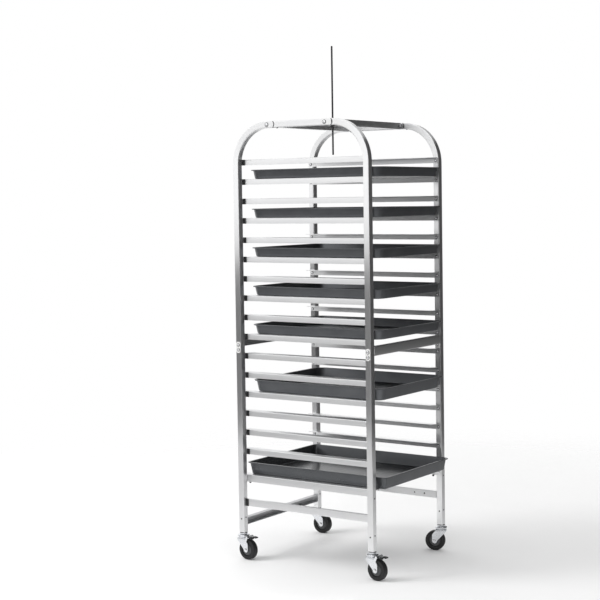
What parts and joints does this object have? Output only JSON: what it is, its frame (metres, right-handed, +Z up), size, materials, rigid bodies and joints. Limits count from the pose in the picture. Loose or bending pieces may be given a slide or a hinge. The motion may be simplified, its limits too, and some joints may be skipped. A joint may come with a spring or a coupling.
{
  "type": "sheet pan rack",
  "caption": "Tall end-loading sheet pan rack of bent square tube with angle slides, dark pans and four swivel casters, two with brakes.",
  "frame": {"origin": "on the floor, under the middle of the overall box", "axes": "+Z up; the loading end faces -Y and the slides run along Y; +X is on the right of someone who loads the rack"},
  "size_m": [0.5672, 0.6976, 1.997],
  "materials": {
    "aluminium": "satin, brushed along each bar",
    "dark_pan": "dark non-stick coating, satin",
    "black_steel": "black, satin",
    "zinc": "bright zinc plate",
    "hub": "dark grey, moulded",
    "tyre": "black rubber",
    "pedal": "black, satin"
  },
  "bodies": {
    "rack": {"upper_post_left_front": "aluminium", "upper_post_left_rear": "aluminium", "upper_post_right_front": "aluminium", "upper_post_right_rear": "aluminium", "lower_post_left_front": "aluminium", "lower_post_left_rear": "aluminium", "lower_post_right_front": "aluminium", "lower_post_right_rear": "aluminium", "splice_collar_left_front": "aluminium", "splice_collar_left_rear": "aluminium", "splice_collar_right_front": "aluminium", "splice_collar_right_rear": "aluminium", "top_bar_left": "aluminium", "top_bar_right": "aluminium", "top_cross_front": "aluminium", "top_cross_rear": "aluminium", "mid_cross_front": "aluminium", "mid_cross_rear": "aluminium", "bottom_cross_rear": "aluminium", "stretcher_left": "aluminium", "stretcher_right": "aluminium", "runner_left": "aluminium", "runner_right": "aluminium", "slide_bank_left_upper": "aluminium", "slide_bank_left_lower": "aluminium", "slide_bank_right_upper": "aluminium", "slide_bank_right_lower": "aluminium", "sign_rod": "black_steel", "rod_clamp": "black_steel", "caster_stem_left_front": "zinc", "caster_stem_left_rear": "zinc", "caster_stem_right_front": "zinc", "caster_stem_right_rear": "zinc"},
    "swivel_left_front": {"caster_fork_left_front": "zinc", "caster_bolt_left_front": "zinc"},
    "wheel_left_front": {"caster_hub_left_front": "hub", "caster_tyre_left_front": "tyre"},
    "pedal_left_front": {"brake_pedal_left_front": "pedal"},
    "swivel_left_rear": {"caster_fork_left_rear": "zinc", "caster_bolt_left_rear": "zinc"},
    "wheel_left_rear": {"caster_hub_left_rear": "hub", "caster_tyre_left_rear": "tyre"},
    "pedal_left_rear": {"brake_pedal_left_rear": "pedal"},
    "swivel_right_front": {"caster_fork_right_front": "zinc", "caster_bolt_right_front": "zinc"},
    "wheel_right_front": {"caster_hub_right_front": "hub", "caster_tyre_right_front": "tyre"},
    "swivel_right_rear": {"caster_fork_right_rear": "zinc", "caster_bolt_right_rear": "zinc"},
    "wheel_right_rear": {"caster_hub_right_rear": "hub", "caster_tyre_right_rear": "tyre"},
    "pan_1": {"sheet_pan_1": "dark_pan"},
    "pan_2": {"sheet_pan_2": "dark_pan"},
    "pan_3": {"sheet_pan_3": "dark_pan"},
    "pan_4": {"sheet_pan_4": "dark_pan"},
    "pan_5": {"sheet_pan_5": "dark_pan"},
    "pan_6": {"sheet_pan_6": "dark_pan"},
    "pan_7": {"sheet_pan_7": "dark_pan"}
  },
  "joints": [
    {"name": "swivel_left_front", "type": "hinge", "parent": "rack", "child": "swivel_left_front", "pos_m": [-0.26, -0.27965, 0.091], "axis": [0, 0, 1], "continuous": true},
    {"name": "roll_left_front", "type": "hinge", "parent": "swivel_left_front", "child": "wheel_left_front", "pos_m": [-0.26209, -0.30356, 0.04], "axis": [0.9962, -0.0872, 0], "continuous": true},
    {"name": "brake_left_front", "type": "hinge", "parent": "swivel_left_front", "child": "pedal_left_front", "pos_m": [-0.26261, -0.30954, 0.0905], "axis": [0.9962, -0.0872, 0], "range_deg": [0, 17]},
    {"name": "swivel_left_rear", "type": "hinge", "parent": "rack", "child": "swivel_left_rear", "pos_m": [-0.26, 0.32535, 0.091], "axis": [0, 0, 1], "continuous": true},
    {"name": "roll_left_rear", "type": "hinge", "parent": "swivel_left_rear", "child": "wheel_left_rear", "pos_m": [-0.26167, 0.30141, 0.04], "axis": [0.9976, -0.0698, 0], "continuous": true},
    {"name": "brake_left_rear", "type": "hinge", "parent": "swivel_left_rear", "child": "pedal_left_rear", "pos_m": [-0.26209, 0.29542, 0.0905], "axis": [0.9976, -0.0698, 0], "range_deg": [0, 17]},
    {"name": "swivel_right_front", "type": "hinge", "parent": "rack", "child": "swivel_right_front", "pos_m": [0.26, -0.27965, 0.091], "axis": [0, 0, 1], "continuous": true},
    {"name": "roll_right_front", "type": "hinge", "parent": "swivel_right_front", "child": "wheel_right_front", "pos_m": [0.25339, -0.25658, 0.04], "axis": [-0.9613, -0.2756, 0], "continuous": true},
    {"name": "swivel_right_rear", "type": "hinge", "parent": "rack", "child": "swivel_right_rear", "pos_m": [0.26, 0.32535, 0.091], "axis": [0, 0, 1], "continuous": true},
    {"name": "roll_right_rear", "type": "hinge", "parent": "swivel_right_rear", "child": "wheel_right_rear", "pos_m": [0.26209, 0.30144, 0.04], "axis": [0.9962, 0.0872, 0], "continuous": true},
    {"name": "pan_slide_1", "type": "slide", "parent": "rack", "child": "pan_1", "axis": [0, -1, 0], "range_m": [-0.035, 0.27]},
    {"name": "pan_slide_2", "type": "slide", "parent": "rack", "child": "pan_2", "axis": [0, -1, 0], "range_m": [-0.035, 0.27]},
    {"name": "pan_slide_3", "type": "slide", "parent": "rack", "child": "pan_3", "axis": [0, -1, 0], "range_m": [-0.035, 0.27]},
    {"name": "pan_slide_4", "type": "slide", "parent": "rack", "child": "pan_4", "axis": [0, -1, 0], "range_m": [-0.035, 0.27]},
    {"name": "pan_slide_5", "type": "slide", "parent": "rack", "child": "pan_5", "axis": [0, -1, 0], "range_m": [-0.035, 0.27]},
    {"name": "pan_slide_6", "type": "slide", "parent": "rack", "child": "pan_6", "axis": [0, -1, 0], "range_m": [-0.035, 0.27]},
    {"name": "pan_slide_7", "type": "slide", "parent": "rack", "child": "pan_7", "axis": [0, -1, 0], "range_m": [-0.01, 0.27]}
  ]
}
